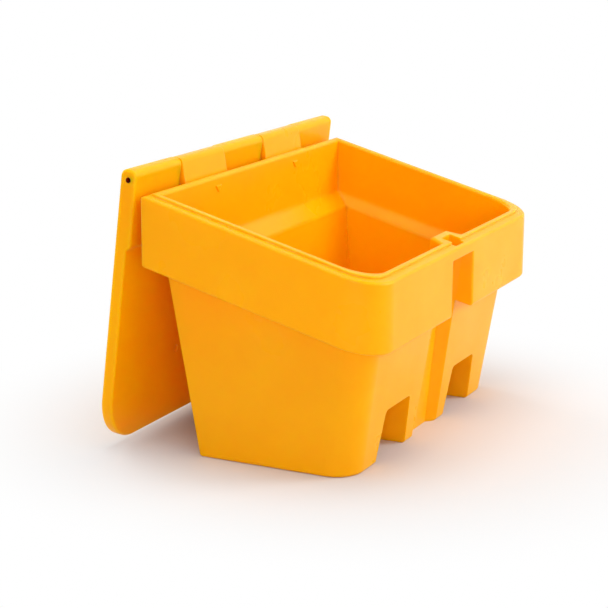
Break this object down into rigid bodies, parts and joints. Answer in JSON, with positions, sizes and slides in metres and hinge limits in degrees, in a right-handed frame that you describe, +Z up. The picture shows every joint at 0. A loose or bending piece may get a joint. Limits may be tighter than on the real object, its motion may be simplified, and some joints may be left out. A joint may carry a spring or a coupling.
{
  "type": "grit salt bin",
  "caption": "Moulded street grit salt bin: tapered hopper, sloping rimmed mouth, fork channels, front lock recess and a lid hinged at the back, hanging open",
  "frame": {"origin": "on the floor, under the middle of the collar, on the middle skid's foot", "axes": "+Z up, +X to the right seen from the front, +Y to the back, where the hinge is"},
  "size_m": [1, 0.7435, 0.6597],
  "materials": {
    "bin_plastic": "satin rotational moulding, fine orange-peel texture",
    "lid_plastic": "satin rotational moulding, fine orange-peel texture",
    "rod_steel": "galvanised steel rod"
  },
  "bodies": {
    "bin": {"bin_body": "bin_plastic"},
    "lid_set": {"lid": "lid_plastic", "hinge_rod": "rod_steel"}
  },
  "joints": [
    {"name": "lid_hinge", "type": "hinge", "parent": "bin", "child": "lid_set", "pos_m": [0, 0.311, 0.63608], "axis": [1, 0, 0], "range_deg": [0, 278]}
  ]
}
